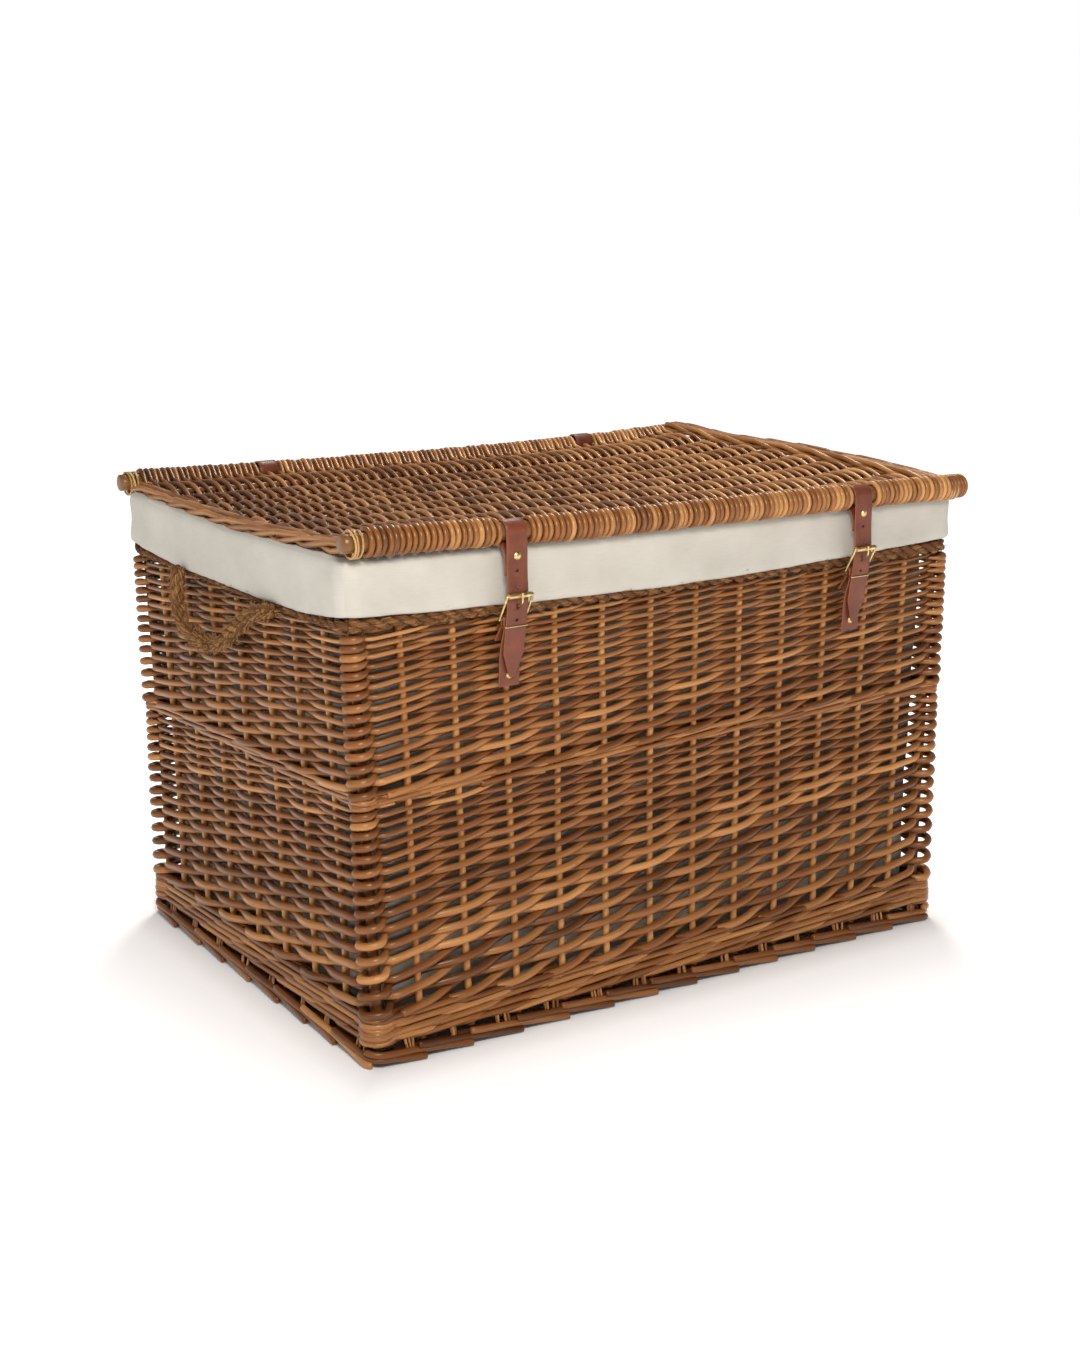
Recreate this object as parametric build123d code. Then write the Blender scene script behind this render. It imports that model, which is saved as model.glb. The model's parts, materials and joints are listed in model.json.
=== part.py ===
from build123d import *
import math
import os

# Wicker storage trunk, in millimetres. X runs along the trunk, the front is at -Y, the floor is z = 0.

# Stake plane: the surface that the upright stakes stand in. The ends flare out, the front leans in a little.
half_length_base = 389.0
half_depth_base = 269.0
length_flare = 21.0
depth_lean = -8.0
lean_height = 540.0

# Heights of the woven courses.
foot_top = 24.0
bottom_wale_top = 58.0
lower_weave_top = 286.0
mid_wale_top = 298.0
upper_weave_top = 471.0
band_top = 488.0
top_wale_top = 505.0
rim_top = 534.0

# How far the courses stand out from the stake plane, outward and inward.
weave_out, weave_in = 9.0, -8.0
foot_out = 14.0
wale_out = 11.0
band_out = 13.5
rim_out = 10.5
corner_gap = 0.1

stake_radius = 4.0
post_radius = 6.0
post_shift, post_inset = 17.0, 1.0
stake_fit = 0.15
front_stakes = 12
side_stakes = 7
stake_bottom = 26.0
stake_top = 504.0

floor_bottom, floor_top = 25.0, 37.0
floor_stick_radius = 5.0
floor_stick_count = 7
floor_stick_short = 2.0

cloth = 1.5
cloth_gap = 0.4
cuff_out = 12.5
liner_top = 536.0
liner_corner = 16.0
bag_corner = 3.0

# Lid.
stick_half_length = 425.0
stick_y = 279.0
stick_z = 554.0
stick_radius = 10.0
wrap_radius = 12.5
lid_weave_half_length = 401.0
lid_bottom, lid_top = 539.0, 554.0
lid_stake_radius = 3.5
lid_stakes = 8
end_border_radius = 7.5
end_border_x = 409.5
end_border_gap = 0.5
lash_radius = 13.5
lash_x = (417.7, 422.5)

# Leather and brass.
strap_x = (-227.0, 254.0)
tab_x = (-231.0, 251.0)
strap_width = 25.4
leather = 2.2
notch_width = strap_width + 3.2
notch_depth = 29.0
notch_y = stick_y - 1
loop_radius = stick_radius + 0.1 + leather / 2
flex_z = 511.0
strap_rivet_z = 535.0
hole_radius = 1.6
hole_pitch = 17.5
tail_kink_z = 494.0
tail_tip_z = 404.0
tip_length = 26.0
tip_width = 7.0
front_layer_y = -(stick_y + loop_radius)
tail_kink_y = front_layer_y - 3.0
tail_tip_y = -280.5
tail_bend = 30.0
loop_under_drop, loop_turn_drop, loop_end_drop = 6.0, 21.0, 36.0
loop_gap = 0.3

pivot_y, pivot_z = -282.5, 467.0
roller_y, roller_z = -297.8, 494.0
wire_radius = 1.4
frame_half_width = 16.0
roller_radius = 3.0
running_fit = 0.05
prong_radius = 1.1
prong_ring = 3.0
prong_ring_half = 1.5
prong_gap = 0.3
prong_low_z, prong_high_z = 478.0, 487.0
prong_slot = (3.0, 6.4)
prong_slot_z = 481.4
keeper_z = 460.0
keeper_half_width = 13.7
keeper_radius = 0.7
keeper_front, keeper_back = -291.0, -273.9
lower_strap_end = 393.0
lower_strap_gap = 2.2
lower_strap_bends = (438.0, 456.0, 459.0)
slit_z, slit_height = 446.5, 13.0
slit_depth, slit_y_in = 26.0, 3.0
short_end_z, short_end_out = 446.0, 6.5
lower_rivet_z = (430.0, 405.0)
hinge_rivet_z = (526.0, 510.0)
tab_low, tab_low_inside = 498.0, 503.0
tab_bend_drop, tab_neck_drop, tab_inside_drop = 20.0, 4.0, 16.0
tab_gap = 0.6
tab_layer_gap = 0.2
rivet_head = 4.0
rivet_head_height = 2.0
rivet_shank = 1.6

# Rope handles.
rope_radius = 9.0
handle_x = 430.5
handle_axis_z = 479.0
handle_route = [(104, 479), (116, 446), (97, 412), (45, 400), (-12, 413), (-52, 445), (-98, 469), (-126, 478)]

# The whole trunk is moved back so that its box is centred: the prongs reach further out than the back stick.
prong_front = -(roller_y - roller_radius - prong_radius - prong_gap)
front_reach = prong_front + prong_radius
centre_shift = (front_reach - (stick_y + lash_radius)) / 2


def half_x(z):
    return half_length_base + length_flare * z / lean_height


def half_y(z):
    return half_depth_base + depth_lean * z / lean_height


def plan_quad(side, z, low, high):
    """Corners of one wall's plan at height z, between two offsets from the stake plane."""
    ax, ay = half_x(z) + low, half_y(z) + low
    bx, by = half_x(z) + high, half_y(z) + high
    g = corner_gap
    quads = {
        "front": [(-ax + g, -ay), (ax - g, -ay), (bx - g, -by), (-bx + g, -by)],
        "back": [(-ax + g, ay), (-bx + g, by), (bx - g, by), (ax - g, ay)],
        "left": [(-ax, ay - g), (-ax, -ay + g), (-bx, -by + g), (-bx, by - g)],
        "right": [(ax, -ay + g), (ax, ay - g), (bx, by - g), (bx, -by + g)],
    }
    return [(x, y, z) for x, y in quads[side]]


def wall(side, z0, z1, low, high):
    """One straight wall of a course, mitred at its corners."""
    faces = [make_face(Polyline(*plan_quad(side, z, low, high), close=True)) for z in (z0, z1)]
    return loft(faces, ruled=True)


def rod(start, end, radius):
    start, end = Vector(*start), Vector(*end)
    return Solid.make_cylinder(radius, (end - start).length, Plane(origin=start, z_dir=end - start))


def stake_line(side, share):
    """The two ends of a stake that stands at a share, -1 to 1, of its wall's length."""
    ends = []
    for z in (stake_bottom, stake_top):
        x, y = half_x(z), half_y(z)
        ends.append({"front": (share * x, -y, z), "back": (share * x, y, z),
                     "left": (-x, share * y, z), "right": (x, share * y, z)}[side])
    return ends


def stake_shares(side):
    count = front_stakes if side in ("front", "back") else side_stakes
    return [2 * (i + 1) / (count + 1) - 1 for i in range(count)]


def stakes(side, radius=stake_radius):
    return [rod(*stake_line(side, share), radius) for share in stake_shares(side)]


def corner_posts(radius=post_radius):
    """Two thick posts side by side at each corner, one on each wall."""
    posts = []
    for sx in (-1, 1):
        for sy in (-1, 1):
            for along_x, along_y in ((post_shift, post_inset), (post_inset, post_shift)):
                ends = [(sx * (half_x(z) - along_x), sy * (half_y(z) - along_y), z)
                        for z in (stake_bottom, stake_top)]
                posts.append(rod(*ends, radius))
    return posts


def course(z0, z1, low, high, drilled=True):
    """A woven course: four walls, with channels where the stakes and posts run through."""
    solids = []
    for side in ("front", "back", "left", "right"):
        body = wall(side, z0, z1, low, high)
        if drilled:
            body = body - stakes(side, stake_radius + stake_fit) - corner_posts(post_radius + stake_fit)
        solids += body.solids()
    return Compound(solids)


def floor_weave():
    z = (floor_bottom + floor_top) / 2
    inset = weave_in - cloth_gap
    plate = Pos(0, 0, z) * Box(2 * (half_x(z) + inset), 2 * (half_y(z) + inset), floor_top - floor_bottom)
    return plate - floor_stick_rods(floor_stick_radius + stake_fit)


def floor_stick_rods(radius):
    z = (floor_bottom + floor_top) / 2
    reach = half_x(z) + weave_in - floor_stick_short
    pitch = 2 * half_y(z) / (floor_stick_count + 1)
    first = -(floor_stick_count - 1) / 2 * pitch
    return [rod((-reach, first + i * pitch, z), (reach, first + i * pitch, z), radius)
            for i in range(floor_stick_count)]


def rounded_block(z0, z1, offset, corner):
    """A closed block between two heights, at an offset from the stake plane, with rounded corners."""
    sketches = [Pos(0, 0, z) * RectangleRounded(2 * (half_x(z) + offset), 2 * (half_y(z) + offset), corner)
                for z in (z0, z1)]
    return loft([s.face() for s in sketches])


def rounded_course(z0, z1, out):
    """An undrilled or drilled course whose outer corners are rounded to fit inside the cuff."""
    corner = liner_corner - cuff_out + out
    limit = rounded_block(z0, z1, out, corner)
    walls = course(z0, z1, weave_in, out, drilled=z0 < stake_top)
    return Compound([(w & limit).solid() for w in walls.solids()])


def liner():
    """Cotton bag inside, folded over the rim as a cuff."""
    bag = weave_in - cloth_gap
    cuff = rounded_block(band_top + 1, liner_top, cuff_out, liner_corner)
    rim_space = rounded_block(band_top, rim_top + cloth_gap, cuff_out - cloth, liner_corner - cloth)
    outside = rounded_block(floor_top + cloth_gap, liner_top - cloth / 2, bag, bag_corner)
    inside = rounded_block(floor_top + cloth_gap + cloth, liner_top + 1, bag - cloth, bag_corner - cloth / 2)
    return cuff - rim_space + outside - inside


def rod_x(y, z, x0, x1, radius):
    return rod((x0, y, z), (x1, y, z), radius)


def stick(side):
    return rod_x(side * stick_y, stick_z, -stick_half_length, stick_half_length, stick_radius)


def lid_stake_rods(radius):
    z = (lid_bottom + lid_top) / 2
    pitch = 2 * (stick_y - wrap_radius) / (lid_stakes + 1)
    first = -(lid_stakes - 1) / 2 * pitch
    reach = lid_weave_half_length
    return [rod_x(first + i * pitch, z, -reach, reach, radius) for i in range(lid_stakes)]


def lid_weave():
    """The lid's weave: a mat between the two sticks, wrapped round both, open where the leather goes."""
    reach = lid_weave_half_length
    mat = Pos(0, 0, (lid_bottom + lid_top) / 2) * Box(2 * reach, 2 * stick_y, lid_top - lid_bottom)
    for side in (-1, 1):
        mat = mat + rod_x(side * stick_y, stick_z, -reach, reach, wrap_radius)
    cuts = [rod_x(s * stick_y, stick_z, -reach - 1, reach + 1, stick_radius + running_fit) for s in (-1, 1)]
    cuts += lid_stake_rods(lid_stake_radius + stake_fit)
    notch = Box(notch_width, notch_depth, 4 * wrap_radius)
    cuts += [Pos(x, -notch_y, stick_z) * notch for x in strap_x]
    cuts += [Pos(x, notch_y, stick_z) * notch for x in tab_x]
    return mat - cuts


def end_border(side):
    reach = stick_y - stick_radius - end_border_gap
    return rod((side * end_border_x, -reach, lid_top - end_border_radius),
               (side * end_border_x, reach, lid_top - end_border_radius), end_border_radius)


def lashings():
    """Cane rings round the stick ends, just past the end borders."""
    rings = []
    for sx in (-1, 1):
        for sy in (-1, 1):
            x0, x1 = sx * lash_x[0], sx * lash_x[1]
            ring = rod_x(sy * stick_y, stick_z, x0, x1, lash_radius)
            rings.append(ring - rod_x(sy * stick_y, stick_z, x0 - sx, x1 + sx, stick_radius + running_fit))
    return Compound([r.solid() for r in rings])


def strip(x, points, radii):
    """A leather strip along a route in the YZ plane, bent with the given radii."""
    route = FilletPolyline(*[(x, y, z) for y, z in points], radius=radii)
    section = Plane(origin=route @ 0, x_dir=(1, 0, 0), z_dir=route % 0) * Rectangle(strap_width, leather)
    return sweep(section, path=route)


def strap_loop(x):
    """Upper end of a front strap: round the front stick, its short end riveted behind the long one."""
    cy, cz = -stick_y, stick_z
    outer, inner = cy - loop_radius, cy + loop_radius
    top = cz + loop_radius
    behind = outer + leather + loop_gap
    points = [(outer, flex_z + leather / 2 + 0.25), (outer, top), (inner, top), (inner, cz - loop_under_drop),
              (behind, cz - loop_turn_drop), (behind, cz - loop_end_drop)]
    bend = loop_radius * 0.999
    body = strip(x, points, [bend, bend, 6, 6])
    hole = rod((x, outer - 2, flex_z + hole_pitch / 2), (x, outer + 1.6, flex_z + hole_pitch / 2), hole_radius)
    return body - hole


def strap_tail(x):
    """The rest of a front strap, below the line where the leather flexes."""
    points = [(front_layer_y, flex_z), (tail_kink_y, tail_kink_z), (tail_tip_y, tail_tip_z)]
    body = strip(x, points, [tail_bend])
    body = body + rod_x(front_layer_y, flex_z, x - strap_width / 2, x + strap_width / 2, leather / 2)
    for side in (-1, 1):
        half = strap_width / 2 + 0.5
        corner = Polyline((side * tip_width / 2, 0, tail_tip_z - 2), (side * half, 0, tail_tip_z + tip_length),
                          (side * half, 0, tail_tip_z - 2), close=True)
        wedge = Pos(x, tail_kink_y - 5, 0) * extrude(make_face(corner), 30, dir=(0, 1, 0))
        body = body - wedge
    for step in (flex_z - hole_pitch / 2, flex_z - 2.5 * hole_pitch):
        body = body - rod((x, tail_kink_y - 5, step), (x, tail_kink_y + 12, step), hole_radius)
    slot = Pos(x, tail_kink_y + 2, prong_slot_z) * Box(prong_slot[0], 16, prong_slot[1])
    return body - slot


def strap_rivet(x):
    y = front_layer_y - leather / 2
    head = rod((x, y - rivet_head_height, strap_rivet_z), (x, y, strap_rivet_z), rivet_head)
    shank = rod((x, y, strap_rivet_z), (x, y + 2 * leather + 1.2, strap_rivet_z), rivet_shank)
    return head + shank


def buckle_frame(x):
    """Rectangle of round brass wire: the pivot bar, two sides, and the bar that the roller turns on."""
    left, right = x - frame_half_width, x + frame_half_width
    frame = rod_x(pivot_y, pivot_z, left, right, wire_radius)
    frame = frame + rod_x(roller_y, roller_z, left, right, wire_radius)
    for side in (left, right):
        frame = frame + rod((side, pivot_y, pivot_z), (side, roller_y, roller_z), wire_radius)
        frame = frame + Pos(side, pivot_y, pivot_z) * Sphere(wire_radius)
        frame = frame + Pos(side, roller_y, roller_z) * Sphere(wire_radius)
    return frame


def roller(x):
    half = frame_half_width - wire_radius - 0.3
    tube = rod_x(roller_y, roller_z, x - half, x + half, roller_radius)
    return tube - rod_x(roller_y, roller_z, x - half - 1, x + half + 1, wire_radius + running_fit)


def prong(x):
    """Ring round the pivot bar, then up behind the strap, through its hole and over the roller."""
    points = [(pivot_y - 1, pivot_z + 1.8), (pivot_y - 3, prong_low_z), (-prong_front, prong_high_z),
              (-prong_front, roller_z + 3.5)]
    route = FilletPolyline(*[(x, y, z) for y, z in points], radius=[3, 4])
    shaft = sweep(Plane(origin=route @ 0, z_dir=route % 0) * Circle(prong_radius), path=route)
    ring = rod_x(pivot_y, pivot_z, x - prong_ring_half, x + prong_ring_half, prong_ring)
    return ring + shaft - rod_x(pivot_y, pivot_z, x - 2, x + 2, wire_radius + running_fit)


def lower_strap(x):
    """Buckle strap: folded over the pivot bar, its short end in a slit of the weave, its long end riveted."""
    bend = wire_radius + 0.1 + leather / 2
    front, back = pivot_y - bend, pivot_y + bend
    top = pivot_z + bend
    lie = -(half_y(lower_strap_end) + weave_out + lower_strap_gap)
    low, turn, fold = lower_strap_bends
    points = [(lie, lower_strap_end), (lie - 1.0, low), (front, turn), (front, top), (back, top),
              (back, fold), (-(half_y(short_end_z) + short_end_out), short_end_z)]
    body = strip(x, points, [12, 12, bend * 0.999, bend * 0.999, 8])
    return body - Pos(x, pivot_y, pivot_z) * Box(4.4, 14, 10)


def weave_slit(x):
    return Pos(x, -(half_y(slit_z) + slit_y_in), slit_z) * Box(strap_width + 1, slit_depth, slit_height)


def keeper(x):
    """Closed wire loop round the buckle strap and the tail of the strap in front of it."""
    corners = [(x - keeper_half_width, keeper_back, keeper_z), (x - keeper_half_width, keeper_front, keeper_z),
               (x + keeper_half_width, keeper_front, keeper_z), (x + keeper_half_width, keeper_back, keeper_z)]
    route = FilletPolyline(*corners, radius=1.2, close=True)
    return sweep(Plane(origin=route @ 0, z_dir=route % 0) * Circle(keeper_radius), path=route)


def lower_rivets(x):
    """Brass rivets that hold the buckle strap to the weave."""
    face = -(half_y(lower_strap_end) + weave_out + lower_strap_gap) - leather / 2
    solids = []
    for z in lower_rivet_z:
        head = rod((x, face - rivet_head_height, z), (x, face - 0.2, z), rivet_head)
        shank = rod((x, face - 0.2, z), (x, face + 7, z), rivet_shank)
        solids.append((head + shank).solid())
    return Compound(solids)


def hinge_tab(x):
    """Leather tab round the back stick, both its ends riveted to the rim outside the cuff."""
    outer, inner = stick_y + loop_radius, stick_y - loop_radius
    top = stick_z + loop_radius
    lie = half_y(tab_low) + cuff_out + leather / 2 + tab_gap
    over = lie + leather + tab_layer_gap
    neck = stick_z - tab_neck_drop
    points = [(over, tab_low), (over, stick_z - tab_bend_drop), (outer, neck), (outer, top), (inner, top),
              (inner, neck), (lie, stick_z - tab_inside_drop), (lie, tab_low_inside)]
    bend = loop_radius * 0.999
    return strip(x, points, [8, 6, bend, bend, 5, 5])


def hinge_rivets():
    face = half_y(tab_low) + cuff_out + 2 * leather + tab_gap + tab_layer_gap
    solids = []
    for x in tab_x:
        for z in hinge_rivet_z:
            head = rod((x, face + rivet_head_height, z), (x, face, z), rivet_head)
            shank = rod((x, face, z), (x, half_y(z) + rim_out - 4, z), rivet_shank)
            solids.append((head + shank).solid())
    return Compound(solids)


def corner_radii(route):
    """Fillet radii of a rope's route: 0.45 of the shorter run over the tangent of half the turn."""
    radii = []
    for a, b, c in zip(route, route[1:], route[2:]):
        first, second = Vector(*b) - Vector(*a), Vector(*c) - Vector(*b)
        half_turn = math.radians(first.get_angle(second)) / 2
        radii.append(0.45 * min(first.length, second.length) / math.tan(half_turn))
    return radii


def handle(side):
    """Rope handle, hanging from the band at one end of the trunk."""
    route = [(side * handle_x, y, z) for y, z in handle_route]
    radii = corner_radii(route)
    path = FilletPolyline(*route, radius=radii)
    rope = sweep(Plane(origin=path @ 0, z_dir=path % 0) * Circle(rope_radius), path=path)
    print("handle radii", [round(r, 1) for r in radii], "length", round(path.length, 1),
          "volume ratio", round(rope.volume / (math.pi * rope_radius**2 * path.length), 4))
    return rope


def all_parts():
    """Every sub-part by name."""
    slits = [weave_slit(x) for x in strap_x]
    upper = course(mid_wale_top, upper_weave_top, weave_in, weave_out)
    upper = Compound([s for wall_solid in upper.solids() for s in (wall_solid - slits).solids()])
    parts = {
        "floor_sticks": Compound(floor_stick_rods(floor_stick_radius)),
        "floor_weave": floor_weave(),
        "foot_border": course(0, foot_top, weave_in, foot_out, drilled=False),
        "bottom_wale": course(foot_top, bottom_wale_top, weave_in, wale_out),
        "lower_weave": course(bottom_wale_top, lower_weave_top, weave_in, weave_out),
        "mid_wale": course(lower_weave_top, mid_wale_top, weave_in, wale_out),
        "upper_weave": upper,
        "rope_band": course(upper_weave_top, band_top, weave_in, band_out),
        "top_wale": rounded_course(band_top, top_wale_top, weave_out),
        "rim_border": rounded_course(top_wale_top, rim_top, rim_out),
        "corner_posts": Compound(corner_posts()),
        "cotton_liner": liner(),
        "front_stick": stick(-1),
        "back_stick": stick(1),
        "lid_weave": lid_weave(),
        "lid_stakes": Compound(lid_stake_rods(lid_stake_radius)),
        "left_end_border": end_border(-1),
        "right_end_border": end_border(1),
        "corner_lashings": lashings(),
        "hinge_rivets": hinge_rivets(),
        "handle_left": handle(-1),
        "handle_right": handle(1),
    }
    for side in ("front", "back", "left", "right"):
        parts[f"{side}_stakes"] = Compound(stakes(side))
    for name, x, tab in zip(("left", "right"), strap_x, tab_x):
        parts[f"strap_loop_{name}"] = strap_loop(x)
        parts[f"strap_tail_{name}"] = strap_tail(x)
        parts[f"strap_rivet_{name}"] = strap_rivet(x)
        parts[f"buckle_frame_{name}"] = buckle_frame(x)
        parts[f"roller_{name}"] = roller(x)
        parts[f"prong_{name}"] = prong(x)
        parts[f"keeper_{name}"] = keeper(x)
        parts[f"lower_strap_{name}"] = lower_strap(x)
        parts[f"lower_rivets_{name}"] = lower_rivets(x)
        parts[f"hinge_tab_{name}"] = hinge_tab(tab)
    return parts


os.makedirs("parts", exist_ok=True)
for node, shape in all_parts().items():
    export_step(Pos(0, centre_shift, 0) * shape, f"parts/{node}.step")
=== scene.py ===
import json
import math

import bpy
import numpy as np
from mathutils import Matrix, Vector


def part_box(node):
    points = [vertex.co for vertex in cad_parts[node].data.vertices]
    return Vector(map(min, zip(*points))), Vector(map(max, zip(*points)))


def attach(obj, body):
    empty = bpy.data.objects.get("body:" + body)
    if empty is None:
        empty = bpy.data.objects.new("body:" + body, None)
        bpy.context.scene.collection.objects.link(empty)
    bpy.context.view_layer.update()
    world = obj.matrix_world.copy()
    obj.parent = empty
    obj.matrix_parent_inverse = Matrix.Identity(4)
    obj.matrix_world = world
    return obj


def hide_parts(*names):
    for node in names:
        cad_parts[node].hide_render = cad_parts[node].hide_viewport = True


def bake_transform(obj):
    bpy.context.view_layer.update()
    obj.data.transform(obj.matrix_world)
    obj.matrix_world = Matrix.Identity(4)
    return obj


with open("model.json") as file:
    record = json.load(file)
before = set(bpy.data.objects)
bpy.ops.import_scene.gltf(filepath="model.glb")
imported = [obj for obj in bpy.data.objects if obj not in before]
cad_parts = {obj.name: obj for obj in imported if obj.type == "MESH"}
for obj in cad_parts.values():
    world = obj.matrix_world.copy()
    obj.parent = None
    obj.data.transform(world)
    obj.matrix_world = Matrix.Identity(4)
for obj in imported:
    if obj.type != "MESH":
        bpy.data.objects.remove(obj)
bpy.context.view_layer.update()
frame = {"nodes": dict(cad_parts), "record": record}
MM = 0.001
rng = np.random.default_rng(11)

# ---------------------------------------------------------------- places, from the frame

def low_high(node):
    low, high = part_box(node)
    return np.array(low, float), np.array(high, float)


def middle_of(node, axis):
    low, high = low_high(node)
    return (low[axis] + high[axis]) / 2


X, Y, Z = 0, 1, 2
SIDES = ("left", "right")
WALLS = ("front", "right", "back", "left")
CENTRE_Y = middle_of("foot_border", Y)
stake_r = 4 * MM
end_low, end_high = low_high("left_stakes")
front_low, front_high = low_high("front_stakes")
STAKE_BOTTOM, STAKE_TOP = end_low[Z], end_high[Z]
half_x_bottom, half_x_top = -end_high[0] + stake_r, -end_low[0] - stake_r
half_y_bottom, half_y_top = CENTRE_Y - front_low[1] - stake_r, CENTRE_Y - front_high[1] + stake_r
FLOOR_TOP = low_high("floor_weave")[1][Z]
WALE_LOW, WALE_TOP = (end[Z] for end in low_high("bottom_wale"))
BAND_LOW, BAND_HIGH = (end[Z] for end in low_high("rope_band"))
RIM_TOP = low_high("rim_border")[1][Z]
stick_low, stick_high = low_high("front_stick")
STICK_R = (stick_high[Z] - stick_low[Z]) / 2
STICK_Z = middle_of("front_stick", Z)
STICK_Y = CENTRE_Y - middle_of("front_stick", Y)
STICK_END = stick_high[X]
LID_END = low_high("lid_weave")[1][X]
LID_MID_Z = middle_of("lid_stakes", Z)
STRAP_X = [middle_of(f"strap_tail_{side}", X) for side in SIDES]
TAB_X = [middle_of(f"hinge_tab_{side}", X) for side in SIDES]
STRAP_HALF = (low_high("strap_tail_left")[1][X] - low_high("strap_tail_left")[0][X]) / 2
JOINTS = {j["name"]: j for j in frame["record"]["behaviour"]["joints"]}


def bulge(z):
    """The walls swell a little towards the floor."""
    return 5.5 * MM * np.exp(-(np.asarray(z) - STAKE_BOTTOM) / (75 * MM)) - 0.6 * MM


def up_the_wall(z, bottom, top):
    return bottom + (top - bottom) * (z - STAKE_BOTTOM) / (STAKE_TOP - STAKE_BOTTOM)


def half_x(z):
    return up_the_wall(z, half_x_bottom, half_x_top)


def half_y(z):
    return up_the_wall(z, half_y_bottom, half_y_top)


# Stations count round the trunk: 0 is the front left corner, and they run along the front first.
FRONT_STAKES, SIDE_STAKES = 12, 7
SPACES = (FRONT_STAKES + 1, SIDE_STAKES + 1) * 2
CORNERS = tuple(sum(SPACES[:i]) for i in range(4))
STATIONS = sum(SPACES)
ARC = 0.2
WEAVE_CORNER = 3.5 * MM


def wall_points(u, z, out, corner=WEAVE_CORNER):
    """Points at stations u, heights z and distances out from the stake plane."""
    u, z = np.asarray(u, float), np.asarray(z, float) * np.ones(len(u))
    out, corner = out * np.ones(len(u)), corner * np.ones(len(u))
    halves = np.stack([half_x(z), half_y(z)], 1)
    xy, normal = np.zeros((len(u), 2)), np.zeros((len(u), 2))
    for i, way in enumerate(((1, 0), (0, 1), (-1, 0), (0, -1))):
        a = np.mod(u - CORNERS[i] + 1, STATIONS) - 1
        way, face = np.array(way), np.array((way[1], -way[0]))
        start = (face - way) * halves
        straight = (a >= ARC) & (a <= SPACES[i] - ARC)
        share = (a - ARC) / (SPACES[i] - 2 * ARC)
        line = start + way * (corner + 2 * (halves[:, i % 2] - corner) * share)[:, None]
        xy[straight], normal[straight] = line[straight], face
        turning = np.abs(a) < ARC
        angle = (a + ARC) / (2 * ARC) * math.pi / 2
        arrow = turned(angle, -way, face)
        around = start + (way - face + arrow) * corner[:, None]
        xy[turning], normal[turning] = around[turning], arrow[turning]
    xy = xy + normal * (out + bulge(z))[:, None]
    return xyz(xy[:, 0], xy[:, 1] + CENTRE_Y, z)


def face_dip(u, front_power=1.6, end_power=3.5):
    """0 at the corners and 1 in the middle of each wall, flatter on the end walls."""
    u = np.mod(np.asarray(u, float), STATIONS)
    dip = np.zeros(len(u))
    for i in range(4):
        a = (u - CORNERS[i]) / SPACES[i]
        here = (a >= 0) & (a < 1)
        dip[here] = 1 - np.abs(2 * a[here] - 1) ** (front_power, end_power)[i % 2]
    return dip


# ---------------------------------------------------------------- mesh tools

def new_mesh(name, material, points, faces, fields=None):
    mesh = bpy.data.meshes.new(name)
    mesh.from_pydata(np.asarray(points).tolist(), [], [tuple(f) for f in faces])
    for key, values in (fields or {}).items():
        values = np.asarray(values, np.float32)
        kind = "FLOAT" if values.ndim == 1 else "FLOAT_VECTOR"
        slot = "value" if values.ndim == 1 else "vector"
        mesh.attributes.new(key, kind, "POINT").data.foreach_set(slot, values.ravel())
    mesh.polygons.foreach_set("use_smooth", [True] * len(mesh.polygons))
    mesh.update()
    mesh.materials.append(material)
    obj = bpy.data.objects.new(name, mesh)
    bpy.context.collection.objects.link(obj)
    return obj


def unit(v):
    return v / np.maximum(np.linalg.norm(v, axis=-1, keepdims=True), 1e-12)


def along(path):
    """Distance along a path to each of its points."""
    return np.concatenate([[0], np.cumsum(np.linalg.norm(np.diff(path, axis=0), axis=1))])


def turned(angle, a, b):
    return np.cos(angle)[:, None] * a + np.sin(angle)[:, None] * b


def tube_faces(rows, count):
    """Quads between rings of points, each ring closed on itself, and the points' own numbers."""
    index = np.arange(rows * count).reshape(rows, count)
    beside = np.roll(index, -1, axis=1)
    return index, np.stack([index[:-1], beside[:-1], beside[1:], index[1:]], -1).reshape(-1, 4)


def xyz(x, y, z):
    return np.stack(np.broadcast_arrays(x, y, z), 1)


def carried_normals(tangents):
    """A normal at each point of a path, carried along it without twist."""
    n = np.zeros_like(tangents)
    start = np.array((0, 0, 1.0))
    if abs(start @ tangents[0]) > 0.95:
        start = np.array((1.0, 0, 0))
    for i, t in enumerate(tangents):
        start = start - (start @ t) * t
        start = start / np.linalg.norm(start)
        n[i] = start
    return n


UP, ALONG, UPRIGHT = (0, 0, 1), (1, 0, 0), (0.3, 0.2, 0)


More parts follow.
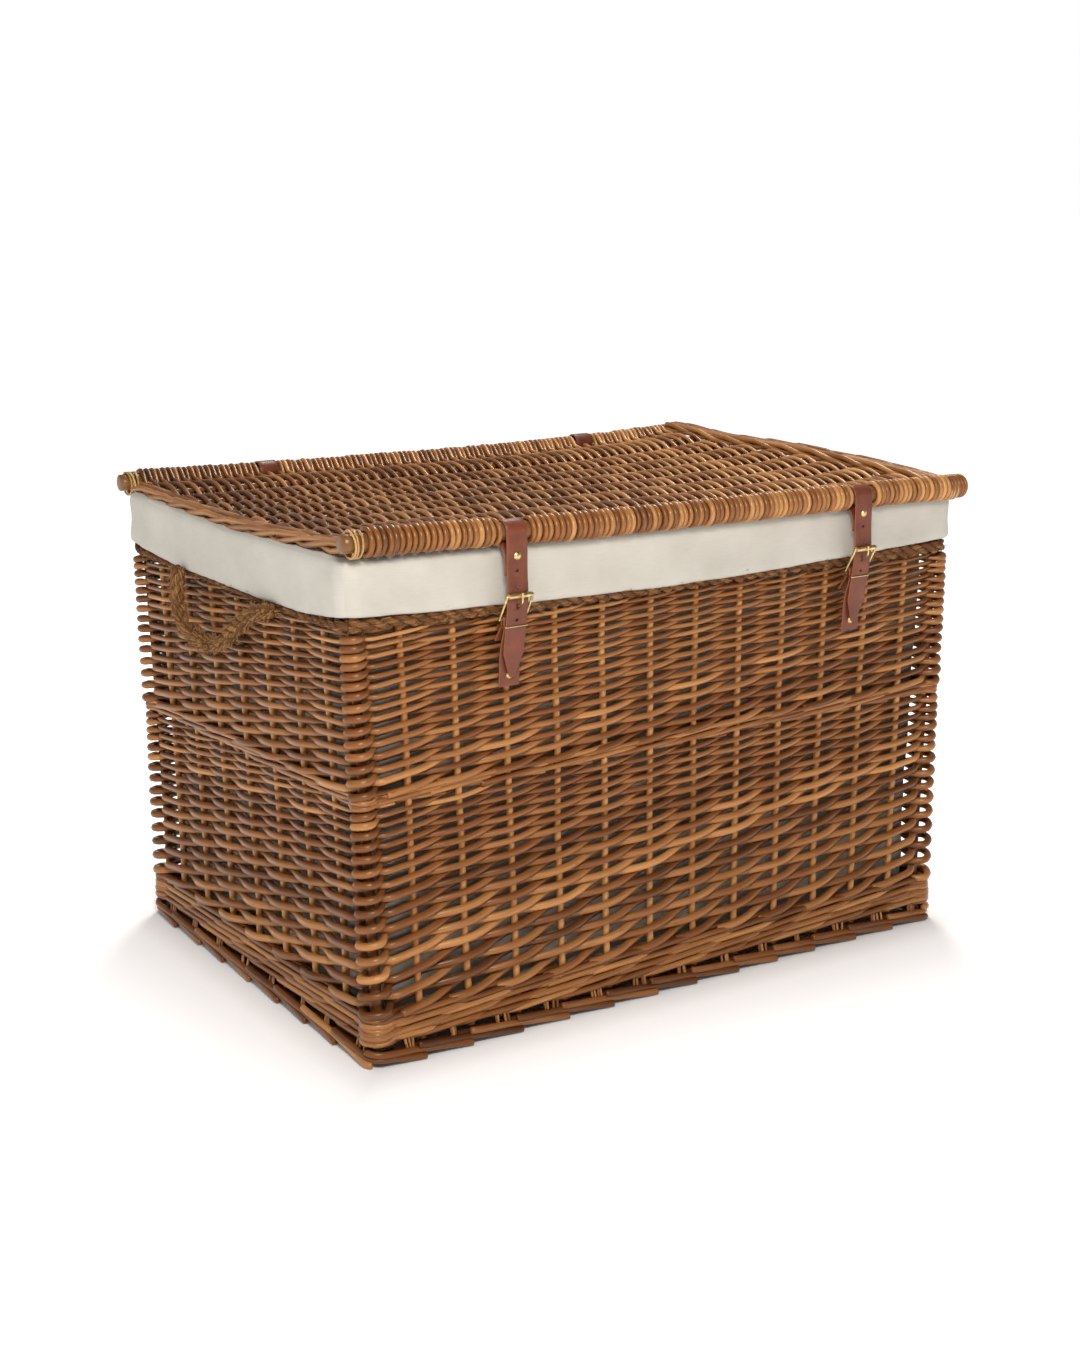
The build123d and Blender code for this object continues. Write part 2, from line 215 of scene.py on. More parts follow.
class Rods:
    """Round rods along paths, gathered into one mesh. rodco is a point's place in its rod, for the grain."""

    def __init__(self):
        self.points, self.faces, self.rodco, self.tint, self.count = [], [], [], [], 0

    def add(self, path, radius, sides=8, up=None, tint=0.5, blunt=0.25):
        path = np.asarray(path, float)
        radius = np.ones(len(path)) * radius
        if blunt:
            first, last = unit(path[0] - path[1]), unit(path[-1] - path[-2])
            first, last = path[0] + first * radius[0] * blunt, path[-1] + last * radius[-1] * blunt
            path = np.vstack([first, path, last])
            radius = np.concatenate([[radius[0] * 0.72], radius, [radius[-1] * 0.72]])
        tangent = unit(np.gradient(path, axis=0))
        if up is None:
            normal = carried_normals(tangent)
        else:
            up = np.asarray(up, float) * np.ones_like(path)
            normal = unit(up - (up * tangent).sum(1, keepdims=True) * tangent)
        side = np.cross(tangent, normal)
        turn = np.linspace(0, 2 * math.pi, sides, endpoint=False)
        ring = np.cos(turn)[None, :, None] * normal[:, None] + np.sin(turn)[None, :, None] * side[:, None]
        points = path[:, None] + radius[:, None, None] * ring
        n = len(path)
        index, quads = tube_faces(n, sides)
        cap = [[i, i + 1, sides - 2 - i, sides - 1 - i] for i in range(sides // 2 - 1)]
        ends = [index[-1][c] for c in cap] + [index[0][c[::-1]] for c in cap]
        length = along(path) + rng.uniform(0, 50)
        co = np.stack([np.broadcast_to(length[:, None], (n, sides)),
                       radius[:, None] * np.cos(turn)[None], radius[:, None] * np.sin(turn)[None]], -1)
        self.points.append(points.reshape(-1, 3))
        self.faces.append(np.vstack([quads, ends]) + self.count)
        self.rodco.append(co.reshape(-1, 3))
        self.tint.append(np.full(n * sides, tint))
        self.count += n * sides

    def build(self, name, material, body, slot, *nodes):
        fields = {"rodco": np.vstack(self.rodco), "tint": np.concatenate(self.tint)}
        obj = new_mesh(name, material, np.vstack(self.points), np.vstack(self.faces), fields)
        return place(obj, body, slot, *nodes)


def ease(x):
    x = np.clip(x, 0, 1)
    return x * x * (3 - 2 * x)


def waver(n, step, size):
    """A smooth random wander over n samples, one random value each step samples."""
    knots = rng.normal(0, size, n // step + 3)
    return np.interp(np.arange(n) / step, np.arange(len(knots)), knots)


def tone(middle, spread=0.2):
    return np.clip(rng.normal(middle, spread), 0, 1)


def place(obj, body, slot, *nodes):
    if body:
        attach(obj, body)
    if nodes:
        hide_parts(*nodes)
    return obj


# ---------------------------------------------------------------- materials

class Nodes:
    """Short names for the node work that every material repeats."""

    def __init__(self, tree):
        self.tree = tree

    def add(self, kind, inputs=None, **settings):
        """A node whose inputs are each linked to a socket or set to a value."""
        node = self.tree.nodes.new(kind)
        for key, value in settings.items():
            setattr(node, key, value)
        self.feed(node, inputs or {})
        return node

    def feed(self, node, inputs):
        for key, value in inputs.items():
            if isinstance(value, bpy.types.NodeSocket):
                self.tree.links.new(value, node.inputs[key])
            else:
                node.inputs[key].default_value = value

    def field(self, name, output="Fac"):
        return self.add("ShaderNodeAttribute", attribute_name=name).outputs[output]

    def place(self, output="Object"):
        return self.add("ShaderNodeTexCoord").outputs[output]

    def apart(self, vector):
        return self.add("ShaderNodeSeparateXYZ", {"Vector": vector}).outputs

    def stretched(self, vector, scale):
        return self.add("ShaderNodeMapping", {"Vector": vector, "Scale": scale}).outputs["Vector"]

    def noise(self, vector, scale, detail=3, rough=0.55):
        inputs = {"Vector": vector, "Scale": scale, "Detail": detail, "Roughness": rough}
        return self.add("ShaderNodeTexNoise", inputs).outputs["Fac"]

    def cells(self, vector, scale):
        return self.add("ShaderNodeTexVoronoi", {"Vector": vector, "Scale": scale}).outputs["Distance"]

    def ramp(self, value, *stops):
        node = self.add("ShaderNodeValToRGB", {"Fac": value})
        while len(node.color_ramp.elements) < len(stops):
            node.color_ramp.elements.new(0.5)
        for element, (at, colour) in zip(node.color_ramp.elements, stops):
            element.position, element.color = at, (*colour, 1)
        return node.outputs["Color"]

    def grey(self, value, low, high):
        inputs = {"Value": value, "From Min": low, "From Max": high}
        return self.add("ShaderNodeMapRange", inputs).outputs["Result"]

    def mix(self, kind, share, a, b):
        b = (*b, 1) if isinstance(b, tuple) else b
        node = self.add("ShaderNodeMix", data_type="RGBA", blend_type=kind)
        self.feed(node, {"Factor": share, 6: a, 7: b})
        return node.outputs[2]

    def shade(self, share, colour, value, low, high):
        """The colour multiplied, by a share, by what value gives between two stops."""
        return self.mix("MULTIPLY", share, colour, self.ramp(value, low, high))

    def sum(self, kind, a, b):
        return self.add("ShaderNodeMath", {0: a, 1: b}, operation=kind).outputs[0]

    def blend(self, a, share_a, b, share_b=1):
        """a times its share plus b times its share."""
        a, b = (self.sum("MULTIPLY", value, share) if share != 1 else value
                for value, share in ((a, share_a), (b, share_b)))
        return self.sum("ADD", a, b)


class Look(Nodes):
    """A material, its shader, and the nodes that feed it."""

    def __init__(self, name, roughness, specular=0.5, metallic=0.0):
        self.mat = bpy.data.materials.new(name)
        self.mat.use_nodes = True
        super().__init__(self.mat.node_tree)
        self.shader = self.tree.nodes["Principled BSDF"]
        self.set(Metallic=metallic, Roughness=roughness, Specular_IOR_Level=specular)

    def set(self, **inputs):
        self.feed(self.shader, {name.replace("_", " "): value for name, value in inputs.items()})

    def bump(self, height, strength, distance):
        inputs = {"Strength": strength, "Distance": distance, "Height": height}
        self.set(Normal=self.add("ShaderNodeBump", inputs).outputs["Normal"])


def willow(name, dark, middle, light):
    """Buff willow: each rod has its own tone, long streaks, mottling, small knots, and a waxy gloss."""
    n = Look(name, 0.42, 0.42)
    n.set(Coat_Weight=0.28, Coat_Roughness=0.27, Coat_Tint=(1.0, 0.84, 0.62, 1),
          Specular_Tint=(1.0, 0.82, 0.58, 1))
    co = n.field("rodco", "Vector")
    streaks = n.noise(n.stretched(co, (18, 900, 900)), 1.0, 4, 0.6)
    blotch = n.noise(n.stretched(co, (14, 60, 60)), 1.0, 3)
    depth = n.sum("SUBTRACT", n.blend(n.field("tint"), 0.72, blotch, 0.5), 0.12)
    colour = n.ramp(depth, (0.05, dark), (0.45, middle), (0.95, light))
    colour = n.shade(0.75, colour, streaks, (0.3, (0.62, 0.56, 0.5)), (0.62, (1.08, 1.05, 1.0)))
    knots = n.ramp(n.cells(n.stretched(co, (34, 120, 120)), 1.0), (0.0, (1, 1, 1)), (0.13, (0, 0, 0)))
    colour = n.mix("MIX", n.sum("MULTIPLY", knots, 0.55), colour, tuple(c * 0.35 for c in dark))
    n.set(Base_Color=colour, Roughness=n.grey(blotch, -0.7, 2.3))
    n.bump(n.blend(streaks, 0.6, knots, -0.4), 0.35, 0.0006)
    return n.mat


def rope_look(name, dark, middle, light):
    n = Look(name, 0.8, 0.25)
    co = n.field("rodco", "Vector")
    fibres = n.noise(n.stretched(co, (60, 2600, 2600)), 1.0, 4, 0.65)
    patches = n.noise(n.stretched(co, (30, 200, 200)), 1.0, 2)
    depth = n.blend(n.field("tint"), 0.6, patches, 0.5)
    colour = n.ramp(depth, (0.2, dark), (0.5, middle), (0.85, light))
    n.set(Base_Color=n.shade(0.85, colour, fibres, (0.3, (0.45, 0.4, 0.34)), (0.66, (1.15, 1.1, 1.0))))
    n.bump(fibres, 0.8, 0.0009)
    return n.mat


def cotton():
    """Unbleached plain-weave cotton: threads crossing, slubs, and slight mottling."""
    n = Look("cotton", 0.92, 0.15)
    n.set(Sheen_Weight=0.25, Sheen_Roughness=0.5)
    co = n.field("cloth", "Vector")
    bands = {"Vector": co, "Scale": 330, "Distortion": 1.2, "Detail Scale": 2.0}
    warp, weft = (n.add("ShaderNodeTexWave", bands, wave_type="BANDS", bands_direction=way).outputs["Fac"]
                  for way in "XY")
    weave = n.sum("MULTIPLY", warp, weft)
    slubs = n.noise(n.stretched(co, (60, 900, 60)), 1.0, 3)
    colour = n.ramp(n.noise(co, 14, 4), (0.3, (0.47, 0.44, 0.385)), (0.7, (0.55, 0.52, 0.465)))
    colour = n.shade(0.35, colour, weave, (0.0, (0.82, 0.8, 0.76)), (0.6, (1, 1, 1)))
    n.set(Base_Color=n.shade(0.3, colour, slubs, (0.35, (0.86, 0.84, 0.79)), (0.6, (1, 1, 1))))
    n.bump(n.blend(weave, 1, slubs, 0.6), 0.35, 0.0004)
    return n.mat


def leather():
    n = Look("bridle_leather", 0.45, 0.45)
    co = n.place()
    creases = n.noise(co, 240, 5, 0.6)
    colour = n.ramp(n.noise(co, 45, 3), (0.3, (0.105, 0.022, 0.0075)), (0.7, (0.185, 0.043, 0.014)))
    colour = n.shade(0.5, colour, creases, (0.35, (0.72, 0.68, 0.66)), (0.6, (1.05, 1.03, 1.0)))
    colour = n.mix("MIX", n.sum("MULTIPLY", n.field("edge"), 0.75), colour, (0.30, 0.105, 0.040))
    n.set(Base_Color=colour, Roughness=n.grey(creases, -0.8, 1.9))
    n.bump(n.blend(n.cells(co, 900), 0.8, creases), 0.25, 0.0004)
    return n.mat


def brass():
    n = Look("brass", 0.28, metallic=1.0)
    tarnish = n.noise(n.place(), 160, 4)
    n.set(Base_Color=n.ramp(tarnish, (0.3, (0.42, 0.29, 0.11)), (0.65, (0.83, 0.64, 0.30))),
          Roughness=n.grey(tarnish, -0.5, 2.6))
    n.bump(n.noise(n.place(), 900, 2), 0.12, 0.0002)
    return n.mat


def thread():
    n = Look("stitching_thread", 0.7)
    fray = n.noise(n.place(), 900, 2)
    n.set(Base_Color=n.ramp(fray, (0.3, (0.10, 0.03, 0.015)), (0.7, (0.22, 0.075, 0.035))))
    return n.mat


WILLOW = willow("willow_rods", (0.052, 0.014, 0.0035), (0.185, 0.062, 0.015), (0.56, 0.275, 0.10))
STAKE = willow("willow_stakes", (0.26, 0.100, 0.026), (0.44, 0.195, 0.060), (0.62, 0.33, 0.125))
# The lid's willow: its light stop is raised for painted light, which brightens the rods at the lid's right
# end where the light falls.
LID_WILLOW_PAINTED_LIGHT = willow("lid_willow_painted_light", (0.058, 0.018, 0.005), (0.25, 0.095, 0.028), (0.68, 0.37, 0.15))
CANE = willow("cane", (0.28, 0.15, 0.05), (0.44, 0.27, 0.11), (0.62, 0.43, 0.21))
STICK = willow("stick_ends", (0.09, 0.036, 0.012), (0.18, 0.078, 0.027), (0.34, 0.17, 0.07))
ROPE = rope_look("seagrass_rope", (0.105, 0.040, 0.013), (0.20, 0.086, 0.029), (0.33, 0.165, 0.062))
HANDLE_ROPE = rope_look("handle_rope", (0.12, 0.050, 0.017), (0.25, 0.118, 0.042), (0.44, 0.235, 0.092))
COTTON, LEATHER, BRASS, THREAD = cotton(), leather(), brass(), thread()

# ---------------------------------------------------------------- camera, floor and light

def make_camera():
    """The camera stands off the front left corner, a little above the lid."""
    yaw, pitch, roll = math.radians(33.9), math.radians(14.15), math.radians(0.06)
    look = Vector((math.sin(yaw) * math.cos(pitch), math.cos(yaw) * math.cos(pitch), -math.sin(pitch)))
    right = Vector((math.cos(yaw), -math.sin(yaw), 0))
    up = right.cross(look)
    right, up = right * math.cos(roll) + up * math.sin(roll), up * math.cos(roll) - right * math.sin(roll)
    data = bpy.data.cameras.new("camera")
    data.sensor_width = 36
    data.lens = 53.37
    camera = bpy.data.objects.new("camera", data)
    turn = Matrix((right, up, -look)).transposed().to_4x4()
    camera.matrix_world = Matrix.Translation((-1.3404, -1.9912 + CENTRE_Y, 0.9202)) @ turn
    bpy.context.collection.objects.link(camera)
    bpy.context.scene.camera = camera


def area_light(name, position, target, size, power, colour=(1, 1, 1)):
    data = bpy.data.lights.new(name, "AREA")
    data.shape, data.size, data.energy, data.color = "DISK", size, power, colour
    light = bpy.data.objects.new(name, data)
    light.location = position
    light.rotation_euler = (Vector(target) - Vector(position)).to_track_quat("-Z", "Y").to_euler()
    bpy.context.collection.objects.link(light)


def make_stage():
    """A white floor and a white horizon, with a dimmer sky above, as in a studio. The floor's own glow fades
    to nothing under and round the trunk, a painted contact shadow.
    """
    bpy.ops.mesh.primitive_plane_add(size=60, location=(0, 0, 0))
    floor = bpy.context.object
    floor.name = "floor"
    n = Look("pale_floor", 0.9, 0.1)
    # Painted contact shadow: the floor glows less the nearer it is to the trunk's footprint, and not at all
    # beneath it.
    place_on_floor = n.apart(n.place())
    beside = [n.sum("SUBTRACT", n.sum("ABSOLUTE", place_on_floor[axis], 0.0), half)
              for axis, half in (("X", half_x(0)), ("Y", half_y(0)))]
    outside = n.sum("MAXIMUM", *beside)
    glow_and_painted_contact_shadow = n.ramp(outside, (0.0, (0, 0, 0)), (0.06, (0.3, 0.3, 0.3)), (0.35, (0.8, 0.8, 0.8)))
    n.set(Base_Color=(0.9, 0.9, 0.9, 1), Emission_Color=(1, 1, 1, 1), Emission_Strength=glow_and_painted_contact_shadow)
    floor.data.materials.append(n.mat)
    world = bpy.data.worlds.new("studio")
    world.use_nodes = True
    n = Nodes(world.node_tree)
    height = n.apart(n.place("Generated"))["Z"]
    sky = n.ramp(height, (0.0, (1, 1, 1)), (0.12, (1, 1, 1)), (0.2, (0.24, 0.24, 0.24)))
    n.feed(n.tree.nodes["Background"], {"Color": sky, "Strength": 1.0})
    bpy.context.scene.world = world
    area_light("key", (-0.95, -1.6, 1.55), (-0.2, 0, 0.3), 0.5, 30, (1, 0.97, 0.93))
    area_light("left_fill", (-3.2, -0.6, 2.4), (0, 0, 0.3), 0.9, 7, (1, 0.985, 0.96))
    area_light("top_fill", (0.9, 1.2, 2.8), (0.2, 0, 0.5), 0.9, 52, (1, 0.96, 0.9))
    bpy.context.scene.view_settings.view_transform = "Standard"


make_camera()
make_stage()

# ---------------------------------------------------------------- rope

def laid_rope(rods, path, radius, pitch, yarns=8, sides=5, swing=1):
    """A laid rope: three strands round the path, each of yarns that turn the other way."""
    tangent = unit(np.gradient(path, axis=0))
    normal = carried_normals(tangent)
    side = np.cross(tangent, normal)
    s = along(path)
    strand_off, strand_r = radius * 0.47, radius * 0.53
    for k in range(3):
        angle = swing * 2 * math.pi * s / pitch + 2 * math.pi * k / 3
        arrow = turned(angle, normal, side)
        centre = path + arrow * strand_off
        across = np.cross(tangent, arrow)
        yarn_r = strand_r * math.pi * 0.78 / yarns
        rods.add(centre, strand_r * 0.84, tint=0.1, blunt=0)
        for y in range(yarns):
            twist = 2 * math.pi * (y / yarns - swing * s / (pitch * 0.42)) + rng.uniform(-0.15, 0.15)
            ring = strand_r - yarn_r * (0.8 + 0.35 * rng.random())
            line = centre + ring * turned(twist, arrow, across)
            line = line + rng.normal(0, radius * 0.022, line.shape)
            rods.add(line, yarn_r * rng.uniform(0.8, 1.15), sides=sides, tint=rng.uniform(0, 1), blunt=0)


def loose_fibres(rods, path, radius, count, length):
    """Short hairs that stand off a rope."""
    for _ in range(count):
        i = rng.integers(2, len(path) - 2)
        way = unit(path[i + 1] - path[i - 1])
        off = unit(np.cross(way, rng.normal(size=3)))
        start = path[i] + off * radius * 0.95
        bend = unit(way * rng.choice([-1, 1]) + off * rng.uniform(0.15, 0.6))
        steps = np.linspace(0, 1, 5)[:, None]
        line = start + bend * steps * length * rng.uniform(0.4, 1) + off * steps**2 * 0.002
        rods.add(line, 0.00035, sides=4, tint=rng.uniform(0.5, 1), blunt=0)


HANDLE_ROUTE = [(104, 479), (116, 446), (97, 412), (45, 400), (-12, 413), (-52, 445), (-98, 466), (-130, 472)]
ROPE_R = 9 * MM


def spline_points(route, name):
    """Points along a smooth curve whose control points are the route."""
    curve = bpy.data.curves.new(name, "CURVE")
    curve.dimensions = "3D"
    spline = curve.splines.new("NURBS")
    spline.points.add(len(route) - 1)
    for point, co in zip(spline.points, route):
        point.co = (*co, 1)
    spline.order_u = 3
    spline.use_endpoint_u = True
    spline.resolution_u = 24
    holder = bpy.data.objects.new(name, curve)
    bpy.context.collection.objects.link(holder)
    bpy.context.view_layer.update()
    mesh = bpy.data.meshes.new_from_object(holder)
    points = np.array([v.co for v in mesh.vertices])
    bpy.data.objects.remove(holder)
    return points


def evenly(path, step):
    s = along(path)
    at = np.linspace(0, s[-1], max(3, int(s[-1] / step)))
    return np.stack([np.interp(at, s, path[:, i]) for i in range(3)], 1), s[-1]


def make_handle(name, sign):
    joint = JOINTS[f"handle_lift_{name}"]
    x = joint["pos_m"][0]
    route = [(x, y * MM + CENTRE_Y, z * MM) for y, z in HANDLE_ROUTE]
    path, length = evenly(spline_points(route, f"handle_{name}_route"), 0.0017)
    rods = Rods()
    laid_rope(rods, path, ROPE_R, 0.046, yarns=11, swing=sign)
    body = f"rope_handle_{name}"
    piece = rods.build(body, HANDLE_ROPE, body, "rope", f"handle_{name}")
    hairs = Rods()
    loose_fibres(hairs, path, ROPE_R, 260, 0.012)
    fibres = hairs.build(f"{body}_fibres", HANDLE_ROPE, body, "rope")


make_handle("left", 1)
make_handle("right", -1)


BAND_R = 8.8 * MM


def make_band():
    """The rope band lies round the top of the weave, under the cuff."""
    u = np.concatenate([np.linspace(c - 0.35, c + 0.35, 40) for c in CORNERS])
    u = np.unique(np.concatenate([u, np.linspace(0, STATIONS, 640)]).round(5))
    u = u[(u >= 0) & (u <= STATIONS)]
    z = (BAND_LOW + BAND_HIGH) / 2 - 1.5 * MM + 0.6 * MM * np.sin(u * 0.9) - 2.0 * MM * face_dip(u)
    path, _ = evenly(wall_points(u, z, 5.0 * MM, 9 * MM), 0.0026)
    half = len(path) // 2
    for name, part in (("near", path[:half + 1]), ("far", path[half:])):
        rods = Rods()
        laid_rope(rods, part, BAND_R, 0.051, yarns=7, sides=4)
        loose_fibres(rods, part, BAND_R, 240, 0.010)
        rods.build(f"rope_band_{name}", ROPE, "basket", "rope", "rope_band")


make_band()

# ---------------------------------------------------------------- walls

def path_stations(start, end, fine=8):
    """Station values from start to end, closer together round the corners."""
    u = np.arange(math.ceil(start * fine), math.floor(end * fine) + 1) / fine
    middles = [c + turn * STATIONS for turn in range(-1, 3) for c in CORNERS]
    near = np.concatenate([np.arange(middle - 0.5, middle + 0.51, 0.05) for middle in middles])
    near = near[(near > start) & (near < end)]
    return np.unique(np.concatenate([[start], u, near, [end]]).round(4))


CORNER_REACH = 1.75
CORNER_R = 4.5 * MM


def is_corner(k):
    return np.isin(np.mod(k, STATIONS), CORNERS)


def from_corner(u):
    """Stations from the nearest corner."""
    half = STATIONS / 2
    return np.min([np.abs(np.mod(u - c + half, STATIONS) - half) for c in CORNERS], axis=0)


def weave_out(u, sign_at, out, hug=0.2):
    """How far out a rod is that passes each station outside or inside; further out round a corner."""
    k = np.floor(u).astype(int)
    after, before = is_corner(k), is_corner(k + 1)
    a, b = sign_at(k) * 1.0, sign_at(k + 1) * 1.0
    a = np.where(after & (a > 0), CORNER_REACH, a)
    b = np.where(before & (b > 0), CORNER_REACH, b)
    start = np.where(after, hug, np.where(before, 1 - hug - 0.34, 0.02))
    end = np.where(before, 1 - hug * 0.75, np.where(after, hug + 0.34, 0.98))
    share = 0.5 - 0.5 * np.cos(math.pi * np.clip((u - k - start) / (end - start), 0, 1))
    return out * (a + (b - a) * share)


def mid_level(u):
    """Height of the middle wale, which climbs from the back left corner to the front right one."""
    level = np.interp(np.mod(u, STATIONS), [0, 13, 23.5, 34, STATIONS], [293, 303, 292, 281, 293])
    return level * MM


ROWS = 30
STAKE_THICK = 4.1 * MM


def randed_course(name, low, high, first, last, depth):
    """French randing: one rod starts in every space, and each climbs one row at every stake it passes."""
    groups = {}
    average = (first + last) / 2
    for j in range(STATIONS):
        u = path_stations(j - 0.42, j + ROWS - 0.3)
        t = (u - j) / ROWS
        climb = (first * t + (last - first) * t * t / 2) / average
        bottom, top = low(u), high(u)
        pitch = (top - bottom) / ROWS * (first + (last - first) * t) / average
        radius = np.clip(0.53 * pitch * rng.uniform(0.9, 1.1), 2.1 * MM, 4.6 * MM)
        out = STAKE_THICK * 0.8 + 0.85 * radius
        sign_at = lambda k: np.where(np.mod(k - j, 2) == 0, 1, -1)
        offset = weave_out(u, sign_at, out)
        z = bottom + (top - bottom) * climb + waver(len(u), 9, 0.6 * MM) + rng.normal(0, 0.3 * MM)
        path = wall_points(u, z, offset)
        radius = radius + (CORNER_R - radius) * ease(1.5 - from_corner(u) / 0.25)
        side = sum(j >= c for c in CORNERS) - 1
        rods = groups.setdefault(side, Rods())
        rods.add(path, radius, up=UP, tint=tone(depth))
    for side, rods in groups.items():
        rods.build(f"{name}_{WALLS[side]}", WILLOW, "basket", "willow", name)


def stays(value):
    return lambda u: np.full(len(u), value)


randed_course("lower_weave", stays(WALE_TOP + 2 * MM), lambda u: mid_level(u) - 6 * MM, 10.8, 4.6, 0.5)
randed_course("upper_weave", lambda u: mid_level(u) + 6 * MM, stays(BAND_LOW + 1 * MM), 7.6, 4.0, 0.52)


def wale_round(rods, level, radius, phase, rise, reach):
    """One round of three-rod waling: each rod goes outside two stakes and inside one."""
    for q in range(3):
        u = path_stations(phase + q, phase + q + STATIONS)
        c = np.mod(u - phase - q, 3)
        out_knots, lift_knots = [0, 1, 2, 3], [0, 1.5, 2.5, 3]
        share = np.interp(c, out_knots, [1, 1, -1, 1])
        share = np.sign(share) * ease(np.abs(share))
        corner = from_corner(u)
        share = np.where(corner < 0.55, np.maximum(share, 1 - ease((corner - 0.3) / 0.25)), share)
        lift = np.interp(c, lift_knots, [-0.5, 1, -1, -0.5]) * rise
        r = radius * rng.uniform(0.92, 1.08)
        z = level(u) + lift + waver(len(u), 10, 0.9 * MM)
        out = (3.1 * MM + 0.8 * r) * share + reach * ease(1.4 - corner / 0.3)
        rods.add(wall_points(u, z, out), r, up=UP, tint=tone(0.55))


def rim_lift(u):
    """The rim stands higher at its near left corner, and sags between the corners under the lid's ends."""
    stations = [0, 4, 13, 17, 21, 27, 34, 38, STATIONS]
    return np.interp(np.mod(u, STATIONS), stations, [9, 6, 4, 3, 7, 4, 8, 1.5, 9]) * MM


def make_wales():
    """Rounds of waling, as level, radius, phase, rise and reach, and the two rods laid along the rim."""
    rounds = {
        "bottom_wale": [(stays(WALE_LOW + (4.5 + 8.6 * i) * MM), 3.6, 1.3 * i, 3.0, 4.5) for i in range(4)],
        "mid_wale": [(lambda u: mid_level(u) - 3 * MM, 2.9, 0.4, 3.4, 4.5),
                     (lambda u: mid_level(u) + 3.5 * MM, 2.6, 1.7, 3.0, 4.5)],
        "top_wale": [(stays(BAND_HIGH + height * MM), 3.4, 0.8, 2.0, 0) for height in (4, 11)],
        "rim_border": [(stays(BAND_HIGH + (19 + 8 * i) * MM), 3.6, 0.5 * i, 2.2, 0) for i in range(3)],
    }
    for node, each in rounds.items():
        rods = Rods()
        for level, radius, phase, rise, reach in each:
            wale_round(rods, level, radius * MM, phase, rise * MM, reach * MM)
        if node == "rim_border":
            u = path_stations(0, STATIONS)
            for out in (-3.5, 3.5):
                rods.add(wall_points(u, RIM_TOP - 6 * MM + rim_lift(u), out * MM), 4.2 * MM, up=UP)
        rods.build(f"{node}_piece", WILLOW, "basket", "willow", node)


make_wales()


def make_stakes():
    for i, wall in enumerate(WALLS):
        rods = Rods()
        for k in range(1, SPACES[i]):
            z = np.linspace(STAKE_BOTTOM - 6 * MM, STAKE_TOP, 40)
            u = np.full(len(z), CORNERS[i] + k) + waver(len(z), 8, 0.012)
            path = wall_points(u, z, waver(len(z), 8, 0.3 * MM))
            rods.add(path, STAKE_THICK, up=UPRIGHT, tint=rng.uniform(0.35, 0.95))
        rods.build(f"{wall}_stakes_piece", STAKE, "basket", "stick", f"{wall}_stakes")
    rods = Rods()
    for c in CORNERS:
        for shift in (-0.21, 0.21):
            z = np.linspace(STAKE_BOTTOM - 6 * MM, STAKE_TOP, 30)
            u = np.full(len(z), c + shift)
            post = wall_points(u, z, -4.0 * MM)
            rods.add(post, 5.0 * MM, sides=10, up=UPRIGHT, tint=rng.uniform(0.1, 0.4))
    rods.build("corner_posts_piece", WILLOW, "basket", "stick", "corner_posts")


make_stakes()


def make_foot():
    """Each stake's rod is laid down along the wall, its cut end showing, and dives under the next."""
    rods = Rods()
    for k in range(STATIONS):
        r = rng.uniform(3.6, 4.1) * MM
        u = path_stations(k - 0.15 + rng.uniform(-0.05, 0.05), k + 1.92 + rng.uniform(-0.06, 0.06))
        t = u - u[0]
        z = np.interp(t, [0, 1, 2.07], [17.5, 11.0, 4.6]) * MM + waver(len(u), 8, 0.2 * MM)
        out = np.interp(t, [0, 0.12, 0.9, 1.5, 2.07], [10.5, 11.0, 8.0, 8.5, 10.5]) * MM
        path = wall_points(u, np.maximum(z, r + 0.2 * MM), out, 3 * MM)
        rods.add(path, r, sides=10, up=UP, tint=tone(0.42))
    for k in range(STATIONS):
        u = path_stations(k + 0.3, k + 1.7)
        rods.add(wall_points(u, np.full(len(u), 9 * MM), -2 * MM), 6.5 * MM, up=UP, tint=0.1)
        for _ in range(4):
            u0 = k - 0.38 + rng.uniform(-0.15, 0.15)
            z = np.linspace(12, 28, 5) * MM
            u = np.linspace(u0, u0 + rng.uniform(-0.03, 0.03), 5)
            path = wall_points(u, z, np.linspace(7.0, 4.5, 5) * MM)
            rods.add(path, 1.6 * MM, sides=6, up=UPRIGHT, tint=rng.uniform(0.3, 0.9))
    rods.build("foot_border_piece", WILLOW, "basket", "willow", "foot_border")


make_foot()


def make_floor():
    """The floor: stout sticks along the trunk with rods woven across them."""
    low, high = low_high("floor_sticks")
    middle, r_stick = (low[2] + high[2]) / 2, (high[2] - low[2]) / 2 * 0.8
    sticks = Rods()
    ys = np.linspace(low[1] + r_stick, high[1] - r_stick, 7)
    for y in ys:
        stick = [(x, y, middle) for x in np.linspace(low[0], high[0], 20)]
        sticks.add(stick, r_stick, sides=10, up=UP, tint=rng.uniform(0.2, 0.8))
    sticks.build("floor_sticks_piece", STAKE, "basket", "stick", "floor_sticks")
    edge_low, edge_high = low_high("floor_weave")
    weave = Rods()
    pitch = 7.6 * MM
    count = int((edge_high[0] - edge_low[0]) / pitch)
    for j in range(count):
        x = edge_low[0] + pitch * (j + 0.5)
        y = np.linspace(edge_low[1], edge_high[1], 64)
        station = np.interp(y, ys, np.arange(len(ys)), left=-0.6, right=len(ys) - 0.4)
        wave = np.cos(math.pi * (station + j)) * (r_stick + 1.0 * MM)
        z = np.clip(middle + wave, edge_low[2], edge_high[2] - 1 * MM)
        weave.add(xyz(x, y, z), 3.5 * MM, sides=6, up=ALONG, tint=rng.uniform(0.2, 0.8))
    weave.build("floor_weave_piece", WILLOW, "basket", "willow", "floor_weave")


make_floor()

# ---------------------------------------------------------------- cotton liner

CLOTH = 0.9 * MM


